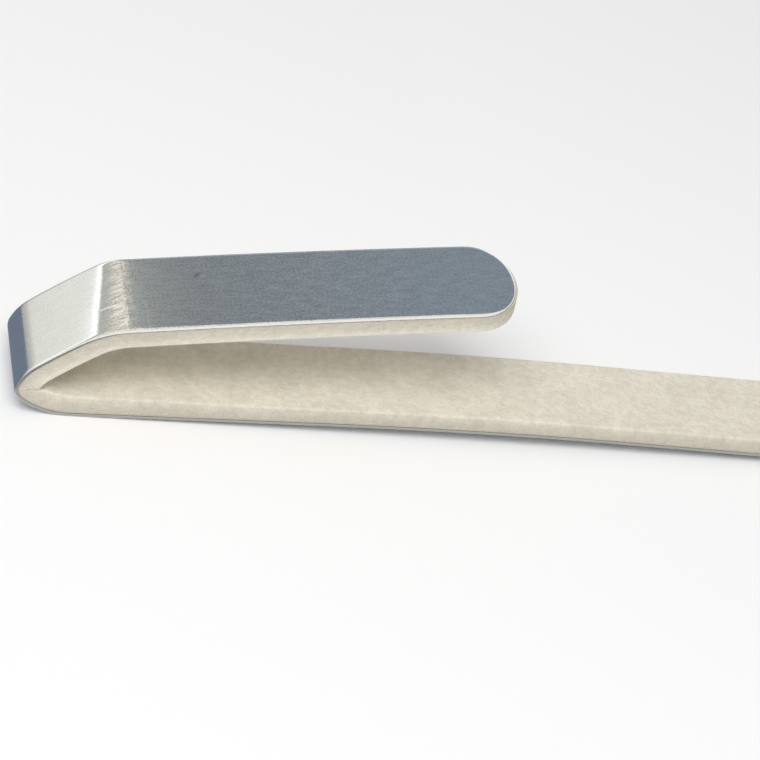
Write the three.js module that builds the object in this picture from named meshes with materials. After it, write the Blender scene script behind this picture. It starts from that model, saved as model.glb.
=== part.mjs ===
// Padded finger splint: one long strip of soft aluminium sheet with a foam pad bonded inside it,
// bent by hand so that the pad lies along the palm, over the fingertip and along the back of the
// finger. Millimetres and degrees, +Z up. The strip rests on its underside, the bent tip points to
// -X and the forearm end to +X, and the origin is the bottom centre of the whole object.

import * as THREE from "three";
import { mergeVertices } from "three/addons/utils/BufferGeometryUtils.js";

// The flat strip before it is bent. Each end is half an ellipse, as wide as the strip.
const STRIP_LENGTH = 460;
const STRIP_WIDTH = 26;
const ROUND_END_LENGTH = 10.8;

// The two layers, from the outer face inwards
const SHEET_THICKNESS = 0.8;
const SHEET_EDGE_RADIUS = 0.3;
const GLUE_GAP = 0.3;
const PAD_THICKNESS = 5.1;
const PAD_EDGE_RADIUS = 0.7;
const PAD_OVERHANG = 0.8; // the pad shows this far past the sheet at each end

// The stretches of the strip along its outer face, from the forearm end to the back of the hand.
// What is left of the strip's length is the straight stretch under the forearm.
const WRIST_LENGTH = 86;
const WRIST_TURN_DEG = 3.2;
const PALM_LENGTH = 63;
const HEEL_RADIUS = 21;
const HEEL_TURN_DEG = 38;
const NOSE_RADIUS = 4.5;
const NOSE_TURN_DEG = 71.3;
const BROW_RADIUS = 14.5;
const BROW_TURN_DEG = 30.3;
const SLOPE_LENGTH = 16;
const SLOPE_TURN_DEG = 5;
const SHOULDER_RADIUS = 19;
const SHOULDER_TURN_DEG = 29.2;
const BACK_LENGTH = 99;
const BACK_TURN_DEG = 1.9;

// Fold lines lie square across the strip, apart from those of the shoulder, which fan out: here
// is how far they lean where the slope meets the shoulder, and where the shoulder meets the back.
const SLOPE_SKEW_DEG = 13.5;
const BACK_SKEW_DEG = 1.0;

// The part of the pad's thickness that is left under the palm, where it has been pressed flat
const PRESSED_SHARE = 0.86;

// Faceting
const END_STEPS = 8;
const EDGE_STEPS = 2;
const WELD_TOLERANCE = 1e-4;

const radians = THREE.MathUtils.degToRad;
const arcLength = (radius, turn) => radius * radians(turn);

// One row for each stretch after the forearm's. A turn above zero curls the strip towards its pad.
// skew and pad are the values at the stretch's far end, and run evenly from the row before: skew
// leans the fold lines, with their far edge further along, and pad is a share of the thickness.
const heelLength = arcLength(HEEL_RADIUS, HEEL_TURN_DEG);
const noseLength = arcLength(NOSE_RADIUS, NOSE_TURN_DEG);
const browLength = arcLength(BROW_RADIUS, BROW_TURN_DEG);
const shoulderLength = arcLength(SHOULDER_RADIUS, SHOULDER_TURN_DEG);
const bowedBack = BACK_LENGTH - ROUND_END_LENGTH;
const bendTable = [
  { name: "wrist", length: WRIST_LENGTH, turn: -WRIST_TURN_DEG, folds: 6, skew: 0, pad: PRESSED_SHARE },
  { name: "palm", length: PALM_LENGTH, turn: 0, folds: 3, skew: 0, pad: 1 },
  { name: "heel", length: heelLength, turn: HEEL_TURN_DEG, folds: 9, skew: 0, pad: 1 },
  { name: "nose", length: noseLength, turn: NOSE_TURN_DEG, folds: 14, skew: 0, pad: 1 },
  { name: "brow", length: browLength, turn: BROW_TURN_DEG, folds: 8, skew: 0, pad: 1 },
  { name: "slope", length: SLOPE_LENGTH, turn: SLOPE_TURN_DEG, folds: 6, skew: SLOPE_SKEW_DEG, pad: 1 },
  {
    name: "shoulder", length: shoulderLength, turn: SHOULDER_TURN_DEG,
    folds: 9, skew: BACK_SKEW_DEG, pad: 1,
  },
  { name: "back", length: bowedBack, turn: BACK_TURN_DEG, folds: 7, skew: 0, pad: 1 },
];

// Fold lines of the flat strip, each at a distance from the forearm end
function flatFolds() {
  const bentLength = bendTable.reduce((sum, row) => sum + row.length, 0);
  const forearmEnd = STRIP_LENGTH - ROUND_END_LENGTH - bentLength;
  const folds = [
    { along: ROUND_END_LENGTH, turn: 0, skew: 0, pad: 1 },
    { along: forearmEnd, turn: 0, skew: 0, pad: PRESSED_SHARE },
  ];
  let start = { along: forearmEnd, skew: 0, pad: PRESSED_SHARE };
  for (const row of bendTable) {
    for (let k = 0; k < row.folds; k += 1) {
      const share = (k + 0.5) / row.folds;
      folds.push({
        along: start.along + share * row.length,
        turn: row.turn / row.folds,
        skew: THREE.MathUtils.lerp(start.skew, row.skew, share),
        pad: THREE.MathUtils.lerp(start.pad, row.pad, share),
      });
    }
    start = { along: start.along + row.length, skew: row.skew, pad: row.pad };
  }
  folds.push({ along: start.along, turn: 0, skew: 0, pad: start.pad });
  return folds;
}

// Folds the strip. Each bent fold has its middle on the outer face, the direction of its fold
// line, the direction along the strip, and the normal towards the pad.
function bendFolds() {
  const turned = new THREE.Quaternion();
  const middle = new THREE.Vector3();
  let reached = 0;
  return flatFolds().map((fold) => {
    const forward = new THREE.Vector3(-1, 0, 0).applyQuaternion(turned);
    middle.addScaledVector(forward, fold.along - reached);
    reached = fold.along;
    const lean = radians(fold.skew);
    const line = new THREE.Vector3(-Math.sin(lean), Math.cos(lean), 0).applyQuaternion(turned);
    const halfTurn = new THREE.Quaternion().setFromAxisAngle(line, radians(fold.turn) / 2);
    const normal = new THREE.Vector3(0, 0, 1).applyQuaternion(turned).applyQuaternion(halfTurn);
    turned.premultiply(halfTurn).premultiply(halfTurn);
    return { middle: middle.clone(), line, forward, normal, lean, pad: fold.pad };
  });
}

// Cross-sections of the whole strip: one at each fold, and those that close the round ends, where
// beyond is -1 before the first fold and 1 past the last, and angle runs from 0 at the very end.
function stripSections(folds) {
  const endAngles = Array.from({ length: END_STEPS }, (_, k) => (Math.PI / 2) * (k / END_STEPS));
  const first = endAngles.map((angle) => ({ fold: folds[0], beyond: -1, angle }));
  const last = endAngles.map((angle) => ({ fold: folds[folds.length - 1], beyond: 1, angle })).reverse();
  return [...first, ...folds.map((fold) => ({ fold, beyond: 0 })), ...last];
}

// A point of a section on its near (-1) or far (1) edge, moved in from the outline and lifted
// from the outer face towards the pad
function edgePoint(section, edge, inset, lift, overhang) {
  const { fold, beyond, angle } = section;
  const point = fold.middle.clone().addScaledVector(fold.normal, lift);
  const halfWidth = STRIP_WIDTH / 2;
  if (beyond === 0) {
    return point.addScaledVector(fold.line, (edge * (halfWidth - inset)) / Math.cos(fold.lean));
  }
  const endLength = ROUND_END_LENGTH + overhang;
  const inward = new THREE.Vector2(Math.cos(angle) / endLength, Math.sin(angle) / halfWidth).normalize();
  point.addScaledVector(fold.forward, beyond * (endLength * Math.cos(angle) - inset * inward.x));
  return point.addScaledVector(fold.line, edge * (halfWidth * Math.sin(angle) - inset * inward.y));
}

// Where two straight pieces of a path cross, seen from the side, as the share of the first piece,
// or null where they don't
function crossing(a, b, c, d) {
  const first = { x: b.x - a.x, z: b.z - a.z };
  const second = { x: d.x - c.x, z: d.z - c.z };
  const scale = first.x * second.z - first.z * second.x;
  if (scale === 0) {
    return null;
  }
  const shareOne = ((c.x - a.x) * second.z - (c.z - a.z) * second.x) / scale;
  const shareTwo = ((c.x - a.x) * first.z - (c.z - a.z) * first.x) / scale;
  const crosses = shareOne > 0 && shareOne < 1 && shareTwo > 0 && shareTwo < 1;
  return crosses ? shareOne : null;
}

// On the inside of a bend that is tighter than its layer is thick, the path along the layer crosses
// itself. All of the loop is drawn together into one point, which makes the pad's pinched crease.
function pinchLoops(path) {
  for (let i = 0; i < path.length - 2; i += 1) {
    for (let j = path.length - 2; j > i + 1; j -= 1) {
      const share = crossing(path[i], path[i + 1], path[j], path[j + 1]);
      if (share !== null) {
        const pinch = path[i].clone().lerp(path[i + 1], share);
        path.fill(pinch, i + 1, j + 1);
        break;
      }
    }
  }
  return path;
}

// Rings that round off one edge of a layer, as how far each is moved in and lifted
function edgeRings(radius) {
  return Array.from({ length: EDGE_STEPS + 1 }, (_, k) => {
    const angle = (Math.PI / 2) * (k / EDGE_STEPS);
    return { inset: radius * (1 - Math.sin(angle)), lift: radius * (1 - Math.cos(angle)) };
  });
}

// One layer of the bent strip as a closed solid. thicknessAt gives its thickness at a fold.
function layerGeometry(folds, { outer, thicknessAt, outerRadius, innerRadius, overhang }) {
  const sections = stripSections(folds);
  const rings = [
    ...edgeRings(outerRadius).map((ring) => ({ ...ring, side: 0 })),
    ...edgeRings(innerRadius).reverse().map((ring) => ({ inset: ring.inset, lift: -ring.lift, side: 1 })),
  ];
  const positions = [];
  for (const ring of rings) {
    for (const edge of [-1, 1]) {
      const path = sections.map((section) => {
        const lift = outer + ring.side * thicknessAt(section.fold) + ring.lift;
        return edgePoint(section, edge, ring.inset, lift, overhang);
      });
      pinchLoops(path).forEach((point) => positions.push(point.x, point.y, point.z));
    }
  }
  const count = sections.length;
  const near = (ring, i) => 2 * ring * count + i;
  const far = (ring, i) => (2 * ring + 1) * count + i;
  const quads = [];
  const inner = rings.length - 1;
  for (let i = 0; i < count - 1; i += 1) {
    quads.push([near(0, i), near(0, i + 1), far(0, i + 1), far(0, i)]);
    quads.push([far(inner, i), far(inner, i + 1), near(inner, i + 1), near(inner, i)]);
    for (let k = 0; k < inner; k += 1) {
      quads.push([near(k, i), near(k + 1, i), near(k + 1, i + 1), near(k, i + 1)]);
      quads.push([far(k, i + 1), far(k + 1, i + 1), far(k + 1, i), far(k, i)]);
    }
  }
  const geometry = new THREE.BufferGeometry();
  geometry.setAttribute("position", new THREE.Float32BufferAttribute(positions, 3));
  geometry.setIndex(quads.flatMap(([a, b, c, d]) => [a, b, c, a, c, d]));
  return weld(geometry);
}

// Joins points that coincide and drops the triangles that have shrunk to a line
function weld(geometry) {
  const welded = mergeVertices(geometry, WELD_TOLERANCE);
  const index = Array.from(welded.getIndex().array);
  const kept = [];
  for (let i = 0; i < index.length; i += 3) {
    const [a, b, c] = index.slice(i, i + 3);
    if (a !== b && b !== c && c !== a) {
      kept.push(a, b, c);
    }
  }
  welded.setIndex(kept);
  welded.computeVertexNormals();
  return welded;
}

function aluminiumStrip(folds) {
  const geometry = layerGeometry(folds, {
    outer: 0,
    thicknessAt: () => SHEET_THICKNESS,
    outerRadius: SHEET_EDGE_RADIUS,
    innerRadius: SHEET_EDGE_RADIUS,
    overhang: 0,
  });
  const material = new THREE.MeshStandardMaterial({ color: 0x9ea4a8, metalness: 0.95, roughness: 0.38 });
  const mesh = new THREE.Mesh(geometry, material);
  mesh.name = "aluminium_strip";
  return mesh;
}

function foamPad(folds) {
  const geometry = layerGeometry(folds, {
    outer: SHEET_THICKNESS + GLUE_GAP,
    thicknessAt: (fold) => PAD_THICKNESS * fold.pad,
    outerRadius: 0,
    innerRadius: PAD_EDGE_RADIUS,
    overhang: PAD_OVERHANG,
  });
  const material = new THREE.MeshStandardMaterial({ color: 0xe0dacb, metalness: 0, roughness: 0.95 });
  const mesh = new THREE.Mesh(geometry, material);
  mesh.name = "foam_pad";
  return mesh;
}

// The angle that brings the underside down on two lines: the forearm end and the heel of the tip
function restPitch(folds) {
  const forearmTip = folds[0].middle.clone().addScaledVector(folds[0].forward, -ROUND_END_LENGTH);
  const dips = folds.map(({ middle }) => Math.atan2(forearmTip.z - middle.z, forearmTip.x - middle.x));
  return Math.max(...dips);
}

function buildSplint() {
  const folds = bendFolds();
  const bentStrip = new THREE.Group();
  bentStrip.add(aluminiumStrip(folds), foamPad(folds));
  bentStrip.rotation.y = restPitch(folds);

  const splint = new THREE.Group();
  splint.add(bentStrip);
  const box = new THREE.Box3().setFromObject(splint, true);
  const centre = box.getCenter(new THREE.Vector3());
  splint.position.set(-centre.x, -centre.y, -box.min.z);
  return splint;
}

export default buildSplint();
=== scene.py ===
"""Padded finger splint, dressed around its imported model.

The aluminium strip and its foam pad are modelled flat, as they are cut, and are then bent along
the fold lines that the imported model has. Lengths are in metres and angles in radians.
"""
import math
from collections import namedtuple

import bmesh
import bpy
import numpy as np
from bpy.props import FloatProperty, FloatVectorProperty, PointerProperty
from mathutils import Matrix, Quaternion, Vector, noise


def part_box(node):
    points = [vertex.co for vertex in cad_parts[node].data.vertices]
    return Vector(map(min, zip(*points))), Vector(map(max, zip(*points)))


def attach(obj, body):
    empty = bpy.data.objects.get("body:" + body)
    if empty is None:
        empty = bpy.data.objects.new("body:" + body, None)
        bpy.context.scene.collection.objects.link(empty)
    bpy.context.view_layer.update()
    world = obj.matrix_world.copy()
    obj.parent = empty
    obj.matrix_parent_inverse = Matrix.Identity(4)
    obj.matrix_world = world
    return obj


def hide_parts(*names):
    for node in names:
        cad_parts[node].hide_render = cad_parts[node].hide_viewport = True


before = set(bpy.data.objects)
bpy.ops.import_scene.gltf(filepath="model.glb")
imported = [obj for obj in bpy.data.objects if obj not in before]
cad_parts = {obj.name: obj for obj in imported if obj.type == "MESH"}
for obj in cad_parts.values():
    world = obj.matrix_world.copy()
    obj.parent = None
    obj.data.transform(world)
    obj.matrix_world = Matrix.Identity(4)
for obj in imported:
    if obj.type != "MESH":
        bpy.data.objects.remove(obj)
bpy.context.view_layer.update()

bl_info = {
    "name": "Padded finger splint",
    "version": (1, 0, 0),
    "blender": (4, 5, 0),
    "location": "View3D > Sidebar > Splint",
    "description": "Models a bent aluminium finger splint with its foam pad",
    "category": "Add Mesh",
}

MM = 0.001
STRIP_NODE = "aluminium_strip"
PAD_NODE = "foam_pad"
UV_NAME = "strip_uv"
Stretch = namedtuple("Stretch", "name length turn skew pad")


def length_property(name, description, millimetres):
    """A size that a user can change, in Blender's own length unit"""
    return FloatProperty(
        name=name, description=description, default=millimetres * MM, min=0.0, unit="LENGTH"
    )


def angle_property(name, description, degrees):
    """An angle that a user can change"""
    return FloatProperty(
        name=name, description=description, default=math.radians(degrees), subtype="ANGLE"
    )


def share_property(name, description, share):
    """A share from 0 to 1"""
    return FloatProperty(
        name=name, description=description, default=share, min=0.0, max=1.0, subtype="FACTOR"
    )


def colour_property(name, description, colour):
    """A linear colour"""
    return FloatVectorProperty(
        name=name, description=description, default=colour, size=3, min=0.0, soft_max=1.0, subtype="COLOR"
    )


class SplintSizes(bpy.types.PropertyGroup):
    """Sizes of the flat strip, its two layers and its bends"""

    strip_length: length_property("Strip length", "Flat length of the strip", 460)
    strip_width: length_property("Strip width", "Width of the strip", 26)
    round_end: length_property("Round end", "Length of each half-elliptic end", 10.8)
    sheet_thickness: length_property("Sheet thickness", "Thickness of the aluminium", 0.9)
    roll_width: length_property("Roll-over width", "How far the rounding reaches inwards", 0.85)
    roll_depth: length_property("Roll-over depth", "How deep the sheared edge's rounding is", 0.2)
    burr_edge: length_property("Inner edge radius", "Rounding of the edge beside the foam", 0.08)
    edge_reach: length_property("Edge reach", "How far the aluminium stands out past the foam's sides", 0.08)
    bond_line: length_property("Bond line", "Gap between the aluminium and the foam", 0.04)
    splint_thickness: length_property("Splint thickness", "Outer face to the foam's inner face", 6.2)
    pad_edge: length_property("Pad edge radius", "Rounding of the foam's inner edges", 0.7)
    pad_overhang: length_property("Pad overhang", "Foam that shows past the aluminium's ends", 0.8)
    pressed_share: share_property("Pressed share", "Foam thickness left along the gentle bend", 0.86)
    crease_depth: length_property("Crease floor", "Outer face to the bottom of the tip crease", 2.6)
    crease_shift: length_property("Crease shift", "How far past the nose's middle the crease lies", 1.6)
    wrist_length: length_property("Wrist length", "Length of the long gentle bend", 86)
    wrist_turn: angle_property("Wrist turn", "Turn of the gentle bend, away from the pad", 3.2)
    palm_length: length_property("Palm length", "Length of the flat stretch before the tip wrap", 63)
    heel_radius: length_property("Heel radius", "Outer radius below the tip", 21)
    heel_turn: angle_property("Heel turn", "Turn below the tip", 38)
    nose_radius: length_property("Nose radius", "Outer radius of the tightest bend", 4.5)
    nose_turn: angle_property("Nose turn", "Turn of the tightest bend", 71.3)
    brow_radius: length_property("Brow radius", "Outer radius above the tip", 14.5)
    brow_turn: angle_property("Brow turn", "Turn above the tip", 30.3)
    slope_length: length_property("Slope length", "Length of the slope up from the tip", 16)
    slope_turn: angle_property("Slope turn", "Turn of the slope", 5)
    slope_skew: angle_property("Slope skew", "Lean of the fold lines at the top of the slope", 13.5)
    shoulder_radius: length_property("Shoulder radius", "Outer radius of the shoulder bend", 19)
    shoulder_turn: angle_property("Shoulder turn", "Turn of the shoulder", 29.2)
    back_length: length_property("Back length", "Length of the upper limb", 99)
    back_turn: angle_property("Back turn", "Slight bow of the upper limb", 1.9)
    back_skew: angle_property("Back skew", "Lean of the fold lines past the shoulder", 1.0)


class SheetFinish(bpy.types.PropertyGroup):
    """Colour and gloss of the aluminium"""

    colour: colour_property("Colour", "Colour of the bare metal", (0.90, 0.91, 0.92))
    dull_colour: colour_property("Dull colour", "Colour of the duller specks", (0.54, 0.555, 0.57))
    # The torn part is partly real and partly painted shade and dark reflection
    torn_and_shade_colour: colour_property("Torn colour", "Torn part of the sheared edge", (0.50, 0.50, 0.46))
    face_roughness: share_property("Face roughness", "Roughness of the rolled face", 0.075)
    edge_roughness: share_property("Edge roughness", "Roughness of the sheared edge", 0.32)
    torn_roughness: share_property("Torn roughness", "Roughness of the edge's torn part", 0.6)


class FoamFinish(bpy.types.PropertyGroup):
    """Colours of the foam"""

    colour: colour_property("Colour", "Colour of clean foam", (0.83, 0.78, 0.67))
    # Painted shade beside the metal, in the cells and below the tip bend
    shade_colour: colour_property("Shade colour", "Beside the metal and in the cells", (0.50, 0.46, 0.385))
    worn_colour: colour_property("Worn colour", "Colour of the worn blotches", (0.66, 0.61, 0.505))


class StudioSettings(bpy.types.PropertyGroup):
    """Camera, floor and light"""

    camera_azimuth: angle_property("Azimuth", "Turn of the view from +Y towards +X", 20.88)
    camera_elevation: angle_property("Elevation", "Height of the view above the floor", 37.13)
    camera_roll: angle_property("Roll", "Roll of the picture", 17.25)
    camera_distance: length_property("Distance", "Camera to the point that it looks at", 653.4)
    camera_lens: FloatProperty(name="Lens", description="Focal length", default=123.16, unit="CAMERA")
    camera_aim: FloatVectorProperty(
        name="Aim", description="Point at the middle of the picture", size=3, unit="LENGTH",
        default=(-0.0717, -0.0157, 0.0200),
    )
    floor_colour: colour_property("Floor colour", "Pale floor", (0.90, 0.90, 0.90))
    key_power: FloatProperty(name="Key power", description="Soft light above", default=17.0, unit="POWER")
    fill: FloatProperty(name="Fill", description="Even light from overhead", default=0.62, min=0.0)


# Bends

FOLD_TURN = math.radians(0.5)
FOLD_STEP = 2.0 * MM
END_MARGIN = 5.0 * MM
SKEW_PASSES = 8
OUTLINE_END_POINTS = 61
OUTLINE_SIDE_POINTS = 600
FOREARM_CUT = 4.0 * MM
BEND_CUT = 2.5 * MM
BEND_CUT_TURN = math.radians(2.0)


def bent_stretches(sizes):
    """Stretches after the first, straight one; skew and pad are the values at each one's far end"""

    def bend(name, skew=0.0):
        turn = getattr(sizes, name + "_turn")
        return Stretch(name, getattr(sizes, name + "_radius") * turn, turn, skew, 1.0)

    return [
        Stretch("wrist", sizes.wrist_length, -sizes.wrist_turn, 0.0, sizes.pressed_share),
        Stretch("palm", sizes.palm_length, 0.0, 0.0, 1.0),
        bend("heel"),
        bend("nose"),
        bend("brow"),
        Stretch("slope", sizes.slope_length, sizes.slope_turn, sizes.slope_skew, 1.0),
        bend("shoulder", sizes.back_skew),
        Stretch("back", sizes.back_length - sizes.round_end, sizes.back_turn, 0.0, 1.0),
    ]


def stretch_starts(sizes):
    """Where each stretch starts along the flat strip, by name"""
    rows = bent_stretches(sizes)
    start = sizes.strip_length - sizes.round_end - sum(row.length for row in rows)
    starts = {}
    for row in rows:
        starts[row.name] = start
        start += row.length
    starts["end"] = start
    return starts


def fold_direction(skew):
    """Direction of a fold line on the flat strip"""
    return Vector((-math.sin(skew), math.cos(skew), 0.0))


def fold_lines(sizes):
    """Closely spaced fold lines of the bent strip, as arrays by name"""
    lines = {name: [] for name in ("along", "skew", "pad", "middle", "forward", "line", "normal")}
    turned = Quaternion()
    middle = Vector((END_MARGIN, 0.0, 0.0))

    def keep(along, skew, pad):
        directions = (Vector((-1, 0, 0)), fold_direction(skew), Vector((0, 0, 1)))
        values = (along, skew, pad, middle, *(turned @ direction for direction in directions))
        for name, value in zip(lines, values):
            lines[name].append(value)

    def advance(length, turn, skew):
        nonlocal turned, middle
        middle = middle + turned @ Vector((-length / 2, 0, 0))
        turned = Quaternion(turned @ fold_direction(skew), turn) @ turned
        middle = middle + turned @ Vector((-length / 2, 0, 0))

    along = -END_MARGIN
    keep(along, 0.0, 1.0)
    wrist = stretch_starts(sizes)["wrist"]
    for reached, pad in ((sizes.round_end, 1.0), (wrist, sizes.pressed_share)):
        advance(reached - along, 0.0, 0.0)
        along = reached
        keep(along, 0.0, pad)
    skew, pad = 0.0, sizes.pressed_share
    for row in bent_stretches(sizes):
        count = max(2, math.ceil(abs(row.turn) / FOLD_TURN), math.ceil(row.length / FOLD_STEP))
        for k in range(count):
            middle_share = (k + 0.5) / count
            advance(row.length / count, row.turn / count, skew + (row.skew - skew) * middle_share)
            share = (k + 1) / count
            along += row.length / count
            keep(along, skew + (row.skew - skew) * share, pad + (row.pad - pad) * share)
        skew, pad = row.skew, row.pad
    advance(sizes.round_end + END_MARGIN, 0.0, 0.0)
    keep(along + sizes.round_end + END_MARGIN, 0.0, pad)
    return settle({name: np.array(values, float) for name, values in lines.items()}, sizes)


def settle(lines, sizes):
    """Tilts the strip until its underside stands on two lines, and puts it where the frame has it"""
    below = lines["along"] < stretch_starts(sizes)["brow"]
    middle = lines["middle"][below][1:]
    pitch = max(np.arctan2(-middle[:, 2], -middle[:, 0]))
    turn = np.array(Matrix.Rotation(pitch, 3, "Y"))
    for name in ("middle", "forward", "line", "normal"):
        lines[name] = lines[name] @ turn.T
    outline = place(lines, outline_points(sizes))
    low, high = outline.min(0), outline.max(0)
    cad_low, cad_high = (np.array(corner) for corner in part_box(STRIP_NODE))
    shift = (cad_low + cad_high - low - high) / 2
    shift[2] = cad_low[2] - low[2]
    lines["middle"] = lines["middle"] + shift
    return lines


def outline_points(sizes):
    """Points on both long edges and round both ends of the flat strip"""
    ends = np.linspace(0.0, math.pi, OUTLINE_END_POINTS)
    half = sizes.strip_width / 2
    near_end = np.stack([sizes.round_end * (1 - np.sin(ends)), half * np.cos(ends), 0 * ends], 1)
    far_end = near_end * [-1, 1, 1] + [sizes.strip_length, 0, 0]
    sides = np.linspace(sizes.round_end, sizes.strip_length - sizes.round_end, OUTLINE_SIDE_POINTS)
    edges = [np.stack([sides, 0 * sides + side * half, 0 * sides], 1) for side in (-1, 1)]
    return np.concatenate([near_end, far_end, *edges])


def line_vectors(lines, name, along):
    """Vectors of the fold lines at distances along the strip"""
    return np.stack([np.interp(along, lines["along"], lines[name][:, i]) for i in range(3)], -1)


def fold_positions(lines, along, across):
    """Where the fold line through each flat point meets the strip's middle line"""
    reached = along.copy()
    for _ in range(SKEW_PASSES):
        reached = along - across * np.tan(np.interp(reached, lines["along"], lines["skew"]))
    return reached


def place(lines, flat):
    """Bends flat points, given as distance along, distance across and lift from the outer face"""
    along, across, lift = flat.T
    reached = fold_positions(lines, along, across)
    skew = np.interp(reached, lines["along"], lines["skew"])
    middle, line, normal = (line_vectors(lines, name, reached) for name in ("middle", "line", "normal"))
    return middle + line * (across / np.cos(skew))[:, None] + normal * lift[:, None]


def cut_places(sizes):
    """Distances along the strip at which the flat blank is cut so that it can bend"""
    starts = stretch_starts(sizes)
    places = list(np.arange(sizes.round_end, starts["wrist"], FOREARM_CUT))
    for row in bent_stretches(sizes):
        count = max(math.ceil(abs(row.turn) / BEND_CUT_TURN), math.ceil(row.length / BEND_CUT))
        places += list(starts[row.name] + row.length * np.arange(count) / count)
    return places + [starts["end"]]


# Modelling

END_SEGMENTS = 28
END_SQUARENESS = 2.08
BEVEL_SEGMENTS = 5
TOLERANCE = 1e-7
CUT_TOLERANCE = 1e-8


def strip_blank(sizes, lift, thickness, end_reach, side_reach, outer_radius, inner_radius):
    """A flat blank of one layer: a capped ring drawn out to the strip's outline, extruded and bevelled"""
    bm = bmesh.new()
    ring = bmesh.ops.create_circle(bm, cap_ends=True, radius=1.0, segments=2 * END_SEGMENTS)["verts"]
    end = sizes.round_end + end_reach
    half = sizes.strip_width / 2 + side_reach
    for k, vert in enumerate(ring):
        side, step = divmod(k, END_SEGMENTS)
        angle = math.pi * step / (END_SEGMENTS - 1)
        along = end * (1 - math.sin(angle) ** (2 / END_SQUARENESS)) - end_reach
        across = half * math.copysign(abs(math.cos(angle)) ** (2 / END_SQUARENESS), math.cos(angle))
        vert.co = (sizes.strip_length - along, -across, lift) if side else (along, across, lift)
    raised = bmesh.ops.extrude_face_region(bm, geom=bm.faces[:])["geom"]
    raised_verts = [v for v in raised if isinstance(v, bmesh.types.BMVert)]
    bmesh.ops.translate(bm, verts=raised_verts, vec=(0, 0, thickness))
    bmesh.ops.recalc_face_normals(bm, faces=bm.faces[:])
    for height, radius in ((lift, outer_radius), (lift + thickness, inner_radius)):
        rim = [e for e in bm.edges if all(abs(v.co.z - height) < TOLERANCE for v in e.verts)]
        if radius > 0:
            bmesh.ops.bevel(
                bm, geom=rim, offset=radius, offset_type="OFFSET", segments=BEVEL_SEGMENTS, profile=0.5,
                affect="EDGES", clamp_overlap=True, material=-1,
            )
    return bm


def add_support_rings(bm, thickness):
    """A narrow ring inside each flat cap, so that shading stays flat up to the rounded edge"""
    caps = [f for f in bm.faces if len(f.verts) > END_SEGMENTS]
    bmesh.ops.inset_individual(bm, faces=caps, thickness=thickness, use_even_offset=True)


def cut_planes(bm, axis, places):
    """Cuts the blank square across an axis, in order, passing each cut only what is still ahead"""
    normal = Vector((0, 0, 0))
    normal[axis] = 1.0
    ahead = bm.faces[:]
    for value in sorted(places):
        touched = {e for f in ahead for e in f.edges} | {v for f in ahead for v in f.verts}
        cut = bmesh.ops.bisect_plane(
            bm, geom=[*ahead, *touched], dist=CUT_TOLERANCE, plane_co=normal * value, plane_no=normal
        )
        ahead = [
            f for f in cut["geom"]
            if isinstance(f, bmesh.types.BMFace) and max(v.co[axis] for v in f.verts) > value + TOLERANCE
        ]


def store_uv(bm, lift):
    """Unrolls the piece: u runs along the strip, v across it, with the walls folded outwards"""
    layer = bm.loops.layers.uv.new(UV_NAME)
    for face in bm.faces:
        for loop in face.loops:
            along, across, height = loop.vert.co
            loop[layer].uv = (along, across + math.copysign(height - lift, across))


def bend_mesh(bm, lines, flat, masks):
    """Moves every vertex of the flat blank to its place on the bent strip, and stores its masks"""
    for mask, values in masks.items():
        layer = bm.verts.layers.float.new(mask)
        for vert, value in zip(bm.verts, values):
            vert[layer] = value
    for vert, point in zip(bm.verts, place(lines, flat)):
        vert.co = point
    bmesh.ops.remove_doubles(bm, verts=bm.verts[:], dist=TOLERANCE)
    bmesh.ops.recalc_face_normals(bm, faces=bm.faces[:])


def finish_piece(bm, name, material):
    """Makes the object from the bmesh, with smooth shading"""
    mesh = bpy.data.meshes.new(name)
    for face in bm.faces:
        face.smooth = True
    bm.to_mesh(mesh)
    bm.free()
    mesh.materials.append(material)
    piece = bpy.data.objects.new(name, mesh)
    bpy.context.scene.collection.objects.link(piece)
    return piece


def flat_array(bm):
    """The blank's vertices as an array"""
    return np.array([v.co for v in bm.verts], float)


def smooth_step(values, low, high):
    """0 at low, 1 at high, and a smooth rise between; low may be the larger one"""
    share = np.clip((values - low) / (high - low), 0.0, 1.0)
    return share * share * (3 - 2 * share)


# Node helpers

MIX_FACTOR, MIX_FIRST, MIX_SECOND = 0, 6, 7
MIX_RESULT = 2


def feed(tree, socket, value):
    """Links a socket to another one, or gives it a plain value or a colour"""
    if isinstance(value, bpy.types.NodeSocket):
        tree.links.new(value, socket)
    elif socket.type == "RGBA":
        socket.default_value = (*value, 1.0)
    else:
        socket.default_value = value


def add_node(tree, kind, **values):
    """A node with its properties and, by socket name, its input values or links"""
    node = tree.nodes.new(kind)
    for key, value in values.items():
        if hasattr(node, key):
            setattr(node, key, value)
        else:
            feed(tree, node.inputs[key.replace("_", " ")], value)
    return node


def math_node(tree, operation, *inputs):
    """A Math node's output"""
    node = add_node(tree, "ShaderNodeMath", operation=operation)
    for socket, value in zip(node.inputs, inputs):
        feed(tree, socket, value)
    return node.outputs[0]


def vector_node(tree, operation, first, second):
    """A Vector Math node's output"""
    node = add_node(tree, "ShaderNodeVectorMath", operation=operation)
    feed(tree, node.inputs[0], first)
    feed(tree, node.inputs["Scale" if operation == "SCALE" else 1], second)
    return node.outputs["Value" if operation in ("DOT_PRODUCT", "DISTANCE") else "Vector"]


def rise(tree, value, low, high, bottom=0.0, top=1.0):
    """Maps low..high smoothly to bottom..top, clamped; low may be the larger one"""
    return add_node(
        tree, "ShaderNodeMapRange", interpolation_type="SMOOTHSTEP",
        Value=value, From_Min=low, From_Max=high, To_Min=bottom, To_Max=top,
    ).outputs["Result"]


def weighted_sum(tree, masks, shares, start=None):
    """Adds up masks, each times its share, by name"""
    total = start
    for name, share in shares.items():
        part = math_node(tree, "MULTIPLY", masks[name], share)
        total = part if total is None else math_node(tree, "ADD", total, part)
    return total


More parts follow.
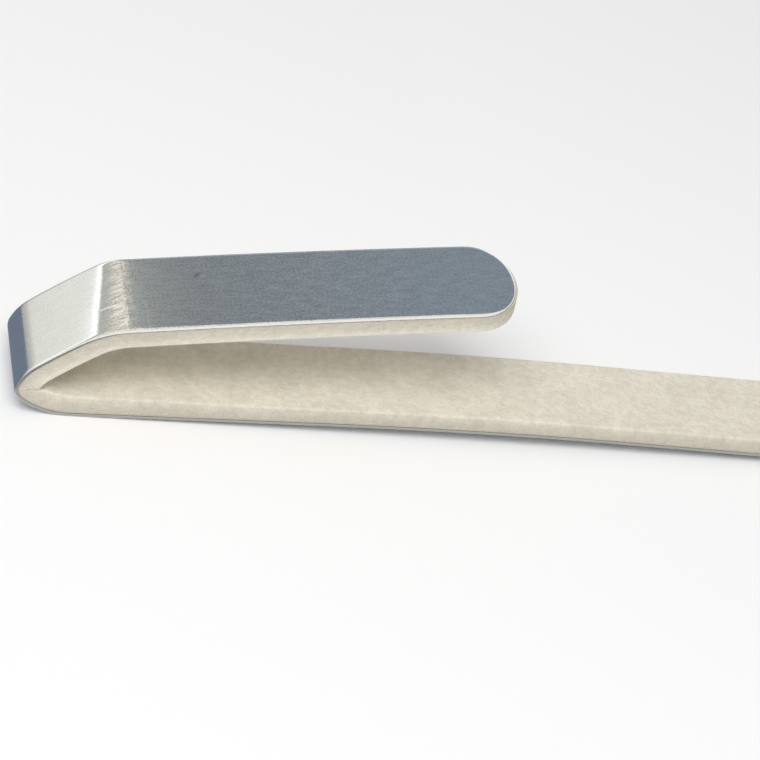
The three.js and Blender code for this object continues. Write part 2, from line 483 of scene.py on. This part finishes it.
def mix_colours(tree, factor, first, second):
    """A colour mix with a clamped factor; first and second are colours or sockets"""
    node = add_node(tree, "ShaderNodeMix", data_type="RGBA", clamp_factor=True)
    for index, item in ((MIX_FACTOR, factor), (MIX_FIRST, first), (MIX_SECOND, second)):
        feed(tree, node.inputs[index], item)
    return node.outputs[MIX_RESULT]


def new_group(name, inputs):
    """A node group that puts out one mask; returns its tree, its inputs and the mask's socket"""
    tree = bpy.data.node_groups.new(name, "ShaderNodeTree")
    for socket_name, kind, default in inputs:
        socket = tree.interface.new_socket(name=socket_name, in_out="INPUT", socket_type=kind)
        if default is not None:
            socket.default_value = default
    tree.interface.new_socket(name="Mask", in_out="OUTPUT", socket_type="NodeSocketFloat")
    return tree, tree.nodes.new("NodeGroupInput").outputs, tree.nodes.new("NodeGroupOutput").inputs["Mask"]


def pattern_mask(tree, group, vector, **values):
    """The mask of a node group that is laid over a vector, with its other inputs by name"""
    node = add_node(tree, "ShaderNodeGroup", node_tree=group)
    for key, value in {"Vector": vector, **values}.items():
        feed(tree, node.inputs[key.replace("_", " ")], value)
    return node.outputs["Mask"]


def grain_group():
    """Stretched noise: a mask of streaks or, with equal lengths, of specks"""
    tree, given, mask = new_group(
        "Grain",
        (
            ("Vector", "NodeSocketVector", None),
            ("Streaks per metre", "NodeSocketVector", (100.0, 1000.0, 1000.0)),
            ("Slant", "NodeSocketFloat", 0.0),
            ("Detail", "NodeSocketFloat", 3.0),
            ("Low", "NodeSocketFloat", 0.35),
            ("High", "NodeSocketFloat", 0.65),
        ),
    )
    turned = add_node(
        tree, "ShaderNodeVectorRotate", rotation_type="Z_AXIS", Vector=given["Vector"], Angle=given["Slant"]
    ).outputs["Vector"]
    stretched = vector_node(tree, "MULTIPLY", turned, given["Streaks per metre"])
    pattern = add_node(
        tree, "ShaderNodeTexNoise", Scale=1.0, Vector=stretched, Detail=given["Detail"]
    ).outputs["Fac"]
    feed(tree, mask, rise(tree, pattern, given["Low"], given["High"]))
    return tree


def scratch_group():
    """A thin mark between two points of the unrolled strip, thinner towards its far end"""
    tree, given, mask = new_group(
        "Scratch",
        (
            ("Vector", "NodeSocketVector", None),
            ("Start", "NodeSocketVector", (0.0, 0.0, 0.0)),
            ("Reach", "NodeSocketVector", (0.01, 0.0, 0.0)),
            ("Half width", "NodeSocketFloat", 0.0001),
            ("Strength", "NodeSocketFloat", 1.0),
        ),
    )
    reach = given["Reach"]
    offset = vector_node(tree, "SUBTRACT", given["Vector"], given["Start"])
    share = math_node(
        tree, "DIVIDE",
        vector_node(tree, "DOT_PRODUCT", offset, reach), vector_node(tree, "DOT_PRODUCT", reach, reach),
    )
    share = math_node(tree, "MINIMUM", math_node(tree, "MAXIMUM", share, 0.0), 1.0)
    away = vector_node(tree, "DISTANCE", offset, vector_node(tree, "SCALE", reach, share))
    taper = math_node(tree, "MULTIPLY", given["Half width"], rise(tree, share, 1.1, 0.6, 0.3, 1.0))
    inside = rise(tree, away, taper, 0.0)
    feed(tree, mask, math_node(tree, "MULTIPLY", inside, given["Strength"]))
    return tree


def start_material(name, **values):
    """A node material with its tree and its shader, whose plain inputs are given by name"""
    material = bpy.data.materials.new(name)
    material.use_nodes = True
    tree = material.node_tree
    tree.nodes.clear()
    shader = add_node(tree, "ShaderNodeBsdfPrincipled", **values)
    add_node(tree, "ShaderNodeOutputMaterial", Surface=shader.outputs["BSDF"])
    return material, tree, shader


def add_bump(tree, shader, height):
    """Gives the shader a relief, from a height in metres"""
    bump = add_node(tree, "ShaderNodeBump", Strength=1.0, Distance=1.0, Height=height)
    feed(tree, shader.inputs["Normal"], bump.outputs["Normal"])


def mask_input(tree, name):
    """A mask stored on the mesh"""
    return add_node(tree, "ShaderNodeAttribute", attribute_name=name).outputs["Fac"]


# Aluminium strip

SHEET_RING = 0.25 * MM
SHEET_ROW = 3.0 * MM
SHEET_ROWS = range(-3, 4)

# From the shoulder's start, and from the back's start
CRUMPLE_RISE = (4.4 * MM, 7.0 * MM)
CRUMPLE_FALL = (-1.8 * MM, 0.4 * MM)

# How far down the sheared edge it is smooth, as a share of the thickness, at the start of each stretch; below
# it the torn part is painted darker, as painted shade beside the foam and, where the value is low under the
# tip and along the lower limb, as a painted dark reflection
TORN_AND_SHADE_FROM = {
    "forearm": 0.18,
    "nose": 0.18,
    "brow": 0.26,
    "slope": 0.36,
    "shoulder": 0.46,
    "back": 0.80,
    "end": 0.76,
    "tip": 0.42,
}
# How much the dull specks stand out
SCUFFED = {"slope": 0.3, "shoulder": 0.35, "back": 1.7, "end": 0.9}

SHEET_PATTERNS = {
    "grain": {"Streaks_per_metre": (170.0, 1900.0, 1.0), "Low": 0.3, "High": 0.7},
    "specks": {"Streaks_per_metre": (1700.0, 1600.0, 1.0), "Detail": 5.0, "Low": 0.34, "High": 0.66},
    "clouds": {"Streaks_per_metre": (230.0, 480.0, 1.0), "Detail": 4.0, "Low": 0.3, "High": 0.7},
    "crumple": {
        "Streaks_per_metre": (130.0, 900.0, 1.0), "Slant": math.radians(-17),
        "Detail": 2.0, "Low": 0.3, "High": 0.7,
    },
    "ragged": {"Streaks_per_metre": (700.0, 60.0, 1.0), "Low": 0.2, "High": 0.8},
}
DULLNESS = {"specks": 0.55, "grain": 0.2, "clouds": 0.25}
ROUGHENING = {"clouds": 0.03, "specks": 0.05}
SHEET_RELIEF = {
    "grain": 0.0003 * MM,
    "specks": 0.0007 * MM,
    "crumpled": 0.03 * MM,
    "marked": -0.012 * MM,
}
EVEN_DULLNESS = 0.5
# The shoulder's crumples get painted shade in their hollows and a painted highlight on their ridges, besides
# their relief
HOLLOW_BELOW, RIDGE_ABOVE, CRUMPLE_PAINTING_STRENGTH = 0.5, 0.6, 0.55
CRUMPLE_PAINTED_SHADE_COLOUR = (0.45, 0.44, 0.41)
CRUMPLE_PAINTED_HIGHLIGHT_COLOUR = (0.99, 0.97, 0.93)
# Painted glints along the scratches and painted shade in the pit
SCRATCH_GLINT_COLOUR = (0.97, 0.96, 0.93)
PIT_SHADE_COLOUR = (0.35, 0.36, 0.37)
EDGE_COLOUR = (0.86, 0.85, 0.81)
EDGE_RISE = (0.02, 0.2)
TORN_RAGGEDNESS = {"ragged": 0.1}
TORN_FADE = 0.08
# Painted dark reflection on the torn edge under the tip and along the lower limb
TORN_PAINTED_SHADE_COLOUR = (0.27, 0.27, 0.27)
TORN_PAINTED_SHADE_RISE = (0.2, 0.34)


def sheet_material(finish, groups, marks):
    """Rolled aluminium: lengthwise grain, dull specks, crumpled metal at the bends with painted shade in its
    hollows and painted highlights on its ridges, a few marks with painted glints and shade, and a sheared
    edge partly painted with shade and dark reflection
    """
    material, tree, shader = start_material("rolled_aluminium", Metallic=1.0)
    unrolled = add_node(tree, "ShaderNodeUVMap", uv_map=UV_NAME).outputs["UV"]
    masks = {name: mask_input(tree, name) for name in ("worked", "edge_depth", "torn_and_shade_from", "scuffed")}
    for name, values in SHEET_PATTERNS.items():
        masks[name] = pattern_mask(tree, groups["grain"], unrolled, **values)
    crumple, worked = masks["crumple"], masks["worked"]
    masks["crumpled"] = math_node(tree, "MULTIPLY", crumple, worked)
    first, *others = (pattern_mask(tree, groups["scratch"], unrolled, **mark) for mark in marks)
    marked = first
    for mark in others:
        marked = math_node(tree, "ADD", marked, mark)
    masks["marked"] = marked

    uneven = math_node(tree, "SUBTRACT", weighted_sum(tree, masks, DULLNESS), EVEN_DULLNESS)
    dullness = math_node(tree, "ADD", math_node(tree, "MULTIPLY", uneven, masks["scuffed"]), EVEN_DULLNESS)
    # Painted shade in the crumples' hollows and a painted highlight on their ridges
    hollow_shade, ridge_highlight = (
        math_node(tree, "MULTIPLY", rise(tree, crumple, low, high, 0.0, CRUMPLE_PAINTING_STRENGTH), worked)
        for low, high in ((HOLLOW_BELOW, 0.0), (RIDGE_ABOVE, 1.0))
    )
    edge = rise(tree, masks["edge_depth"], *EDGE_RISE)
    # Torn part of the edge, painted darker as shade and dark reflection where the table gives low values
    torn_and_shade_from = weighted_sum(tree, masks, TORN_RAGGEDNESS, start=masks["torn_and_shade_from"])
    torn = rise(tree, masks["edge_depth"], torn_and_shade_from, math_node(tree, "ADD", torn_and_shade_from, TORN_FADE))
    torn_and_shade_colour = mix_colours(
        tree, rise(tree, masks["torn_and_shade_from"], *TORN_PAINTED_SHADE_RISE), finish.torn_and_shade_colour, TORN_PAINTED_SHADE_COLOUR
    )

    colour = finish.colour
    for mask, reached in (
        (dullness, finish.dull_colour),
        # Painted shade in the crumples' hollows and a painted highlight on their ridges
        (hollow_shade, CRUMPLE_PAINTED_SHADE_COLOUR),
        (ridge_highlight, CRUMPLE_PAINTED_HIGHLIGHT_COLOUR),
        # Painted glints along the scratches and painted shade in the pit
        (marked, SCRATCH_GLINT_COLOUR),
        (math_node(tree, "MULTIPLY", marked, -1.0), PIT_SHADE_COLOUR),
        (edge, EDGE_COLOUR),
        # Torn part of the edge, partly painted shade and dark reflection
        (torn, torn_and_shade_colour),
    ):
        colour = mix_colours(tree, mask, colour, reached)
    feed(tree, shader.inputs["Base Color"], colour)

    roughness = weighted_sum(tree, masks, ROUGHENING, start=finish.face_roughness)
    for mask, reached in ((edge, finish.edge_roughness), (torn, finish.torn_roughness)):
        roughness = rise(tree, mask, 0.0, 1.0, roughness, reached)
    feed(tree, shader.inputs["Roughness"], roughness)
    add_bump(tree, shader, weighted_sum(tree, masks, SHEET_RELIEF))
    return material


def sheet_marks(sizes):
    """Scratches and pits of the shoulder and the back, as points of the unrolled strip; the scratches are
    painted lighter as glints, and the pit gets painted shade with a painted highlight beside it
    """
    starts = stretch_starts(sizes)
    shoulder, back = starts["shoulder"] / MM, starts["back"] / MM
    # Start, reach and half width in millimetres, and strength; a pit's strength is below 0 and paints shade,
    # and a strength above 0 paints a glint or highlight
    marks = (
        ((shoulder + 2.7, -4.1), (8.3, 1.3), 0.18, 1.0),
        ((back + 4.0, -11.9), (0.2, 9.5), 0.09, 0.13),
        ((back + 4.0, -11.9), (0.6, 0.35), 0.16, 0.55),
        ((back + 17.6, 5.3), (1.3, 1.2), 0.75, -0.85),
        ((back + 19.1, 5.0), (0.7, 0.8), 0.4, 0.5),
    )
    return [
        {
            "Start": (start[0] * MM, start[1] * MM, 0),
            "Reach": (reach[0] * MM, reach[1] * MM, 0),
            "Half_width": half_width * MM,
            "Strength": strength,
        }
        for start, reach, half_width, strength in marks
    ]


def sheet_masks(sizes, lines, flat):
    """Where the sheet is crumpled and scuffed, and how its sheared edge looks, including where the edge gets
    painted shade and a painted dark reflection
    """
    starts = stretch_starts(sizes)
    along = fold_positions(lines, flat[:, 0], flat[:, 1])
    worked = smooth_step(along, *(starts["shoulder"] + distance for distance in CRUMPLE_RISE))
    worked *= 1 - smooth_step(along, *(starts["back"] + distance for distance in CRUMPLE_FALL))
    masks = {"worked": worked, "edge_depth": flat[:, 2] / sizes.sheet_thickness}
    reached = starts | {"forearm": 0.0, "tip": sizes.strip_length}
    for name, stops in (("torn_and_shade_from", TORN_AND_SHADE_FROM), ("scuffed", SCUFFED)):
        masks[name] = np.interp(along, [reached[stop] for stop in stops], list(stops.values()))
    return masks


class SPLINT_OT_aluminium_strip(bpy.types.Operator):
    """Models the bent aluminium strip"""

    bl_idname = "splint.aluminium_strip"
    bl_label = "Aluminium strip"

    def execute(self, context):
        sizes, finish = context.scene.splint_sizes, context.scene.splint_sheet
        lines = fold_lines(sizes)
        bm = strip_blank(
            sizes, lift=0.0, thickness=sizes.sheet_thickness, end_reach=0.0,
            side_reach=sizes.edge_reach, outer_radius=sizes.roll_width, inner_radius=sizes.burr_edge,
        )
        add_support_rings(bm, SHEET_RING)
        cut_planes(bm, 1, [k * SHEET_ROW for k in SHEET_ROWS])
        cut_planes(bm, 0, cut_places(sizes))
        store_uv(bm, 0.0)
        flat = flat_array(bm)
        rolled = flat[:, 2] < sizes.roll_width
        flat[rolled, 2] *= sizes.roll_depth / sizes.roll_width
        bend_mesh(bm, lines, flat, sheet_masks(sizes, lines, flat))
        material = sheet_material(finish, shared_groups(), sheet_marks(sizes))
        piece = finish_piece(bm, "rolled_strip", material)
        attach(piece, "root")
        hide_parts(STRIP_NODE)
        return {"FINISHED"}


# Foam pad

PAD_RING = 0.3 * MM
PAD_LAYERS = (0.17, 0.34, 0.51, 0.68)
PAD_ROW = 2.4 * MM
PAD_ROWS = range(-4, 5)
PAD_OUTER_RADIUS = 0.12 * MM
SWELLINGS = ((14 * MM, 0.14 * MM), (5 * MM, 0.05 * MM))
SWELLING_FADE = (12.3 * MM, 10.0 * MM)
SIDE_BULGE = 0.03
# Where the painted highlight lies: across the strip and into the foam's depth, at its rounded inner edge
LIP_ACROSS = (11.4 * MM, 12.4 * MM)
LIP_DEPTH = (0.5, 0.95)
CREASE_GAP = 0.03 * MM
CREASE_MIDDLE = 0.1 * MM
PINCH_WIDTH = 0.45 * MM
FACING_BELOW = -1e-12
NO_LIMIT = 1.0

FOAM_PATTERNS = {
    "fine": {"Streaks_per_metre": (1500.0,) * 3, "Detail": 3.0, "Low": 0.32, "High": 0.68},
    "lumps": {"Streaks_per_metre": (520.0,) * 3, "Detail": 2.0, "Low": 0.3, "High": 0.7},
    "blotches": {"Streaks_per_metre": (110.0,) * 3, "Detail": 3.0, "Low": 0.35, "High": 0.75},
}
CELLS_PER_METRE = 1500.0
PORE_FADE = (0.38, 0.08)
CELL_WALL_RISE = (0.0, 0.5)
WEAR = {"blotches": 0.4, "lumps": 0.5}
# Painted shade in the pores and from the tip bend down along the lower limb
SHADE = {"pores": 0.55, "lower_limb_shade": 0.16}
# Painted shade beside the metal: depth in the foam down to which it reaches, and how much
BESIDE_METAL = ((1.0, 0.45), (0.16, 0.3))
FOAM_RELIEF = {"fine": 0.07 * MM, "lumps": 0.10 * MM, "cell_walls": 0.08 * MM}
# Painted highlight along the foam's inner edge on the slope
LIP_HIGHLIGHT_STRENGTH = 0.5
LIP_HIGHLIGHT_COLOUR = (0.97, 0.93, 0.83)
FOAM_ROUGHNESS = 0.95
FOAM_SPECULAR = 0.2


def crease_limits(sizes, lines, along):
    """How deep the foam can reach before it meets the foam from the other side of the tip bend"""
    starts = stretch_starts(sizes)
    centre = (starts["nose"] + starts["brow"]) / 2 + sizes.crease_shift
    tangent = line_vectors(lines, "forward", centre)
    distance = (line_vectors(lines, "middle", along) - line_vectors(lines, "middle", centre)) @ tangent
    approach = line_vectors(lines, "normal", along) @ tangent
    facing = distance * approach < FACING_BELOW
    limit = np.full_like(along, NO_LIMIT)
    limit[facing] = -distance[facing] / approach[facing]
    limit = np.where(np.abs(along - centre) < CREASE_MIDDLE, sizes.nose_radius, limit)
    pinch = np.exp(-(((along - centre) / PINCH_WIDTH) ** 2))
    return limit - CREASE_GAP - (sizes.nose_radius - sizes.crease_depth) * pinch


def soften(points, size, amount):
    """Gentle swelling and hollows of a soft surface"""
    return np.array([noise.noise(Vector(p) / size) for p in points]) * amount


def press_pad(sizes, lines, flat, base, full):
    """Presses the flat pad at its gentle bend and pinches it in the tip bend; returns its masks, among them
    painted shade below the tip bend and a painted highlight on the slope's inner edge
    """
    starts = stretch_starts(sizes)
    along = flat[:, 0]
    depth = (flat[:, 2] - base) / full
    pressed = np.interp(along, lines["along"], lines["pad"])
    soft = sum(soften(flat, size, amount) for size, amount in SWELLINGS)
    top = base + full * pressed + soft * smooth_step(np.abs(flat[:, 1]), *SWELLING_FADE)
    bent = (along > starts["heel"]) & (along < starts["slope"])
    top = np.where(bent, np.minimum(top, crease_limits(sizes, lines, along)), top)
    squeezed = 1 - (top - base) / full
    flat[:, 2] = base + depth * (top - base)
    flat[:, 1] *= 1 + SIDE_BULGE * np.clip(squeezed, 0, 1) * depth
    # Painted shade on the foam from the tip bend down along the lower limb
    lower_limb_shade = smooth_step(along, starts["slope"], starts["nose"])
    lip_highlight = smooth_step(np.abs(flat[:, 1]), *LIP_ACROSS) * smooth_step(depth, *LIP_DEPTH)
    lip_highlight *= smooth_step(along, starts["brow"], starts["slope"])
    return {"pad_depth": depth, "lower_limb_shade": lower_limb_shade, "lip_highlight": lip_highlight}


def foam_material(finish, groups):
    """Cream foam with open cells, with painted shade towards the metal, in the cells and below the tip bend,
    and a painted highlight along the slope's inner edge
    """
    material, tree, shader = start_material(
        "cream_foam", Roughness=FOAM_ROUGHNESS, Specular_IOR_Level=FOAM_SPECULAR
    )
    position = tree.nodes.new("ShaderNodeTexCoord").outputs["Object"]
    masks = {name: mask_input(tree, name) for name in ("pad_depth", "lower_limb_shade", "lip_highlight")}
    for name, values in FOAM_PATTERNS.items():
        masks[name] = pattern_mask(tree, groups["grain"], position, **values)
    cells = add_node(
        tree, "ShaderNodeTexVoronoi", Vector=position, Scale=CELLS_PER_METRE
    ).outputs["Distance"]
    masks["pores"] = math_node(tree, "MULTIPLY", rise(tree, cells, *PORE_FADE), masks["fine"])
    masks["cell_walls"] = rise(tree, cells, *CELL_WALL_RISE)
    # Painted shade: darker towards the metal, in the pores and below the tip bend
    wide, close = (rise(tree, masks["pad_depth"], low, 0.0, 0.0, share) for low, share in BESIDE_METAL)
    shade = weighted_sum(tree, masks, SHADE, start=math_node(tree, "ADD", wide, close))
    # Painted highlight on the slope's inner foam edge
    lip_highlight = math_node(tree, "MULTIPLY", masks["lip_highlight"], LIP_HIGHLIGHT_STRENGTH)
    colour = mix_colours(tree, weighted_sum(tree, masks, WEAR), finish.colour, finish.worn_colour)
    colour = mix_colours(tree, lip_highlight, colour, LIP_HIGHLIGHT_COLOUR)
    colour = mix_colours(tree, shade, colour, finish.shade_colour)
    feed(tree, shader.inputs["Base Color"], colour)
    add_bump(tree, shader, weighted_sum(tree, masks, FOAM_RELIEF))
    return material


class SPLINT_OT_foam_pad(bpy.types.Operator):
    """Models the foam pad, pinched together inside the tip bend"""

    bl_idname = "splint.foam_pad"
    bl_label = "Foam pad"

    def execute(self, context):
        sizes, finish = context.scene.splint_sizes, context.scene.splint_foam
        lines = fold_lines(sizes)
        base = sizes.sheet_thickness + sizes.bond_line
        full = sizes.splint_thickness - base
        bm = strip_blank(
            sizes, lift=base, thickness=full, end_reach=sizes.pad_overhang,
            side_reach=0.0, outer_radius=PAD_OUTER_RADIUS, inner_radius=sizes.pad_edge,
        )
        add_support_rings(bm, PAD_RING)
        cut_planes(bm, 2, [base + full * share for share in PAD_LAYERS])
        cut_planes(bm, 1, [k * PAD_ROW for k in PAD_ROWS])
        cut_planes(bm, 0, cut_places(sizes))
        store_uv(bm, base)
        flat = flat_array(bm)
        masks = press_pad(sizes, lines, flat, base, full)
        bend_mesh(bm, lines, flat, masks)
        piece = finish_piece(bm, "soft_pad", foam_material(finish, shared_groups()))
        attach(piece, "root")
        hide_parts(PAD_NODE)
        return {"FINISHED"}


def shared_groups():
    """The node groups that both materials use, made once"""
    made = bpy.data.node_groups
    return {
        "grain": made.get("Grain") or grain_group(),
        "scratch": made.get("Scratch") or scratch_group(),
    }


# Stage

SENSOR_WIDTH = 36.0
CLIP_START = 0.01
FLOOR_SIZE = (6.0, 6.0)
KEY_SIZE = (1.2, 0.9)
KEY_PLACE = (-0.45, -0.7, 1.3)
KEY_AIM = (0.0, 0.0, 0.02)

# Size and place of the cards on the floor beside, behind and below the tip
CARD_COLOUR = (0.20, 0.235, 0.30)
CARDS = {
    "card_left": ((0.634, 0.84), (-0.483, 0.18, 1.0 * MM)),
    "card_back": ((0.146, 0.56), (-0.093, 0.32, 1.0 * MM)),
    "card_tip": ((0.0165, 0.053), (-0.15825, 0.0135, 0.3 * MM)),
}

# Reflected colours by elevation in degrees, and those of the panel by azimuth
SKYLINE = (
    (0.0, (0.48, 0.52, 0.536)),
    (3.5, (0.614, 0.598, 0.543)),
    (9.0, (0.76, 0.75, 0.67)),
    (12.0, (0.96, 0.95, 0.85)),
    (18.5, (1.01, 1.005, 0.905)),
    (21.0, (1.07, 1.07, 1.01)),
    (25.5, (1.24, 1.24, 1.2)),
    (27.0, (1.6, 1.6, 1.58)),
    (31.5, (1.6, 1.6, 1.55)),
    (32.0, (0.47, 0.47, 0.41)),
    (37.0, (0.58, 0.58, 0.52)),
    (40.0, (0.66, 0.644, 0.556)),
    (42.0, (0.79, 0.76, 0.70)),
    (46.0, (0.95, 0.89, 0.76)),
)
PANEL = (
    (-2.5, (0.93, 0.88, 0.76)),
    (-1.9, (0.66, 0.66, 0.59)),
    (-1.1, (0.33, 0.35, 0.35)),
    (0.2, (0.265, 0.29, 0.295)),
    (3.0, (0.26, 0.285, 0.30)),
    (7.0, (0.28, 0.312, 0.34)),
    (14.0, (0.27, 0.32, 0.37)),
)
BELOW_PANEL = (0.46, 0.49, 0.55)
BRIGHT_SIDE = (1.25, 1.25, 1.2)
ALL_ROUND = (1.0, 0.985, 0.93)
OVERHEAD = (0.66, 0.67, 0.69)
BACKDROP = (0.9, 0.9, 0.9)
FILL_RISE = (0.0, 60.0)
LOW_FILL = 0.3


def direction_angles(tree):
    """Elevation and azimuth, in degrees, of the direction that a world ray takes"""
    coordinates = tree.nodes.new("ShaderNodeTexCoord").outputs["Generated"]
    x, y, z = add_node(tree, "ShaderNodeSeparateXYZ", Vector=coordinates).outputs
    elevation = math_node(tree, "MULTIPLY", math_node(tree, "ARCSINE", z), math.degrees(1))
    azimuth = math_node(tree, "MULTIPLY", math_node(tree, "ARCTAN2", x, y), math.degrees(1))
    return elevation, azimuth


def blend_stops(tree, value, stops):
    """A colour that passes through the stops, each a value and a colour, in rising order"""
    colour = stops[0][1]
    for (low, _), (high, reached) in zip(stops, stops[1:]):
        colour = mix_colours(tree, rise(tree, value, low, high), colour, reached)
    return colour


def studio_world(scene, fill):
    """A soft studio with even light, which reflections see as large lit fields

    Behind the splint they meet, from the floor up, a light strip, a warm card and a blue-grey panel,
    with a bright side to the right; overhead is a darker field, and all else is pale.
    """
    world = bpy.data.worlds.new("studio")
    scene.world = world
    world.use_nodes = True
    tree = world.node_tree
    tree.nodes.clear()
    elevation, azimuth = direction_angles(tree)
    sideways = math_node(tree, "ABSOLUTE", azimuth)
    # Each field's colour, and the angles in degrees over which it fades in
    fields = (
        (BELOW_PANEL, (azimuth, -2.0, 0.0), (azimuth, 20.0, 17.0)),
        (BRIGHT_SIDE, (azimuth, 22.0, 26.0), (elevation, 42.0, 38.0)),
        (blend_stops(tree, azimuth, PANEL), (elevation, 36.0, 40.0), (azimuth, -3.5, -2.5)),
        (ALL_ROUND, (elevation, 58.0, 66.0)),
        (ALL_ROUND, (sideways, 75.0, 95.0)),
        (OVERHEAD, (elevation, 70.0, 84.0)),
    )
    reflected = blend_stops(tree, elevation, SKYLINE)
    for colour, *fades in fields:
        first, *others = (rise(tree, *fade) for fade in fades)
        mask = first
        for other in others:
            mask = math_node(tree, "MULTIPLY", mask, other)
        reflected = mix_colours(tree, mask, reflected, colour)
    rays = tree.nodes.new("ShaderNodeLightPath").outputs
    even = mix_colours(tree, rise(tree, elevation, *FILL_RISE), (LOW_FILL * fill,) * 3, (fill,) * 3)
    seen = mix_colours(tree, rays["Is Glossy Ray"], even, reflected)
    seen = mix_colours(tree, rays["Is Camera Ray"], seen, BACKDROP)
    background = add_node(tree, "ShaderNodeBackground", Color=seen)
    add_node(tree, "ShaderNodeOutputWorld", Surface=background.outputs[0])


def stage_plane(name, size, location, material):
    """A flat stage piece"""
    bm = bmesh.new()
    bmesh.ops.create_grid(bm, x_segments=1, y_segments=1, size=0.5)
    bmesh.ops.scale(bm, vec=(*size, 1.0), verts=bm.verts[:])
    bmesh.ops.translate(bm, vec=location, verts=bm.verts[:])
    mesh = bpy.data.meshes.new(name)
    bm.to_mesh(mesh)
    bm.free()
    mesh.materials.append(material)
    plane = bpy.data.objects.new(name, mesh)
    bpy.context.scene.collection.objects.link(plane)
    return plane


def floor_material(colour):
    """Smooth pale floor"""
    return start_material("pale_floor", Base_Color=colour, Roughness=0.9, Specular_IOR_Level=0.1)[0]


def card_material(colour):
    """A card that only reflections see"""
    return start_material(
        "blue_card", Base_Color=(0.0, 0.0, 0.0), Specular_IOR_Level=0.0, Roughness=1.0,
        Emission_Color=colour, Emission_Strength=1.0,
    )[0]


def add_key_light(power):
    """One large soft light above and in front"""
    light = bpy.data.lights.new("key", "AREA")
    light.shape = "RECTANGLE"
    light.size, light.size_y = KEY_SIZE
    light.energy = power
    lamp = bpy.data.objects.new("key", light)
    lamp.location = KEY_PLACE
    lamp.rotation_euler = (Vector(KEY_AIM) - lamp.location).to_track_quat("-Z", "Y").to_euler()
    lamp.visible_glossy = False
    bpy.context.scene.collection.objects.link(lamp)


def add_camera(studio):
    """The picture's camera, rolled with the picture"""
    azimuth, elevation = studio.camera_azimuth, studio.camera_elevation
    forward = Vector((
        math.sin(azimuth) * math.cos(elevation), math.cos(azimuth) * math.cos(elevation), -math.sin(elevation)
    ))
    level = forward.cross(Vector((0, 0, 1))).normalized()
    right = Quaternion(-forward, studio.camera_roll) @ level
    up = right.cross(forward)
    data = bpy.data.cameras.new("camera")
    data.sensor_width = SENSOR_WIDTH
    data.lens = studio.camera_lens
    data.clip_start = CLIP_START
    camera = bpy.data.objects.new("camera", data)
    rotation = Matrix((right, up, -forward)).transposed().to_4x4()
    position = Vector(studio.camera_aim) - forward * studio.camera_distance
    camera.matrix_world = Matrix.Translation(position) @ rotation
    bpy.context.scene.collection.objects.link(camera)
    bpy.context.scene.camera = camera


class SPLINT_OT_stage(bpy.types.Operator):
    """Lays the floor and sets up the light and the camera"""

    bl_idname = "splint.stage"
    bl_label = "Stage"

    def execute(self, context):
        scene = context.scene
        studio = scene.splint_studio
        scene.view_settings.view_transform = "Standard"
        stage_plane("floor", FLOOR_SIZE, (0, 0, 0), floor_material(studio.floor_colour))
        card_blue = card_material(CARD_COLOUR)
        for name, (size, location) in CARDS.items():
            card = stage_plane(name, size, location, card_blue)
            card.visible_camera = False
            card.visible_diffuse = False
            card.visible_shadow = False
        studio_world(scene, studio.fill)
        add_key_light(studio.key_power)
        add_camera(studio)
        return {"FINISHED"}


class SPLINT_PT_panel(bpy.types.Panel):
    """Lists the splint's pieces and settings"""

    bl_idname = "SPLINT_PT_panel"
    bl_label = "Finger splint"
    bl_space_type = "VIEW_3D"
    bl_region_type = "UI"
    bl_category = "Splint"

    def draw(self, context):
        layout = self.layout
        for operator in OPERATORS:
            layout.operator(operator.bl_idname)
        for group, kind in GROUPS.items():
            box = layout.box()
            for name in kind.__annotations__:
                box.prop(getattr(context.scene, group), name)


OPERATORS = (SPLINT_OT_stage, SPLINT_OT_aluminium_strip, SPLINT_OT_foam_pad)
GROUPS = {
    "splint_sizes": SplintSizes,
    "splint_sheet": SheetFinish,
    "splint_foam": FoamFinish,
    "splint_studio": StudioSettings,
}


def register():
    """Adds the classes and the scene's settings"""
    for name, group in GROUPS.items():
        bpy.utils.register_class(group)
        setattr(bpy.types.Scene, name, PointerProperty(type=group))
    for item in (*OPERATORS, SPLINT_PT_panel):
        bpy.utils.register_class(item)


def unregister():
    """Takes them away again"""
    for item in (SPLINT_PT_panel, *reversed(OPERATORS)):
        bpy.utils.unregister_class(item)
    for name, group in reversed(GROUPS.items()):
        delattr(bpy.types.Scene, name)
        bpy.utils.unregister_class(group)


def main():
    """Builds everything in order"""
    register()
    bpy.ops.splint.stage()
    bpy.ops.splint.aluminium_strip()
    bpy.ops.splint.foam_pad()


if __name__ == "__main__":
    main()
